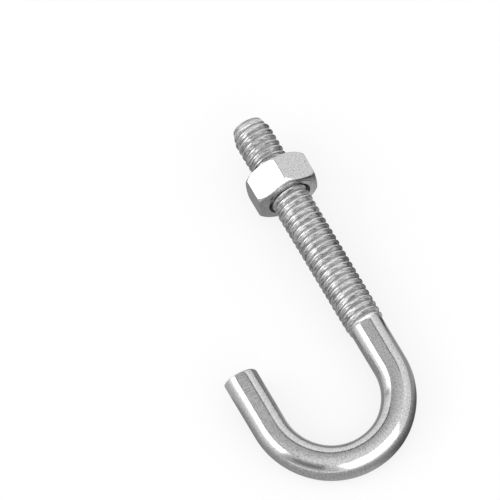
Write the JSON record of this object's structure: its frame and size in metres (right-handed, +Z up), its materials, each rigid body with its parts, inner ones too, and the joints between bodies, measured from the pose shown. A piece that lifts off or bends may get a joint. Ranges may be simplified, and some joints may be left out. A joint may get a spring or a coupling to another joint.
{
  "type": "j bolt",
  "caption": "Round steel bar bent into a J-shaped hook, with a coarse thread on the straight end and a hex nut run part way down it.",
  "frame": {"origin": "middle of the footprint, on the surface that the bolt lies on", "axes": "+Y along the shank towards the threaded tip, which rises slightly, +X from the hook's tail to the shank, +Z up"},
  "size_m": [0.0372, 0.0789, 0.0149],
  "materials": {
    "bolt_zinc": "bright zinc plate over drawn and rolled steel",
    "nut_zinc": "bright zinc plate over cold-formed steel"
  },
  "bodies": {
    "bolt": {"hook_bolt": "bolt_zinc"},
    "nut": {"hex_nut": "nut_zinc"}
  },
  "joints": [
    {"name": "nut_travel", "type": "slide", "parent": "bolt", "child": "nut", "axis": [0, 0.9979, 0.0642], "range_m": [-0.03104, 0.01552]}
  ]
}
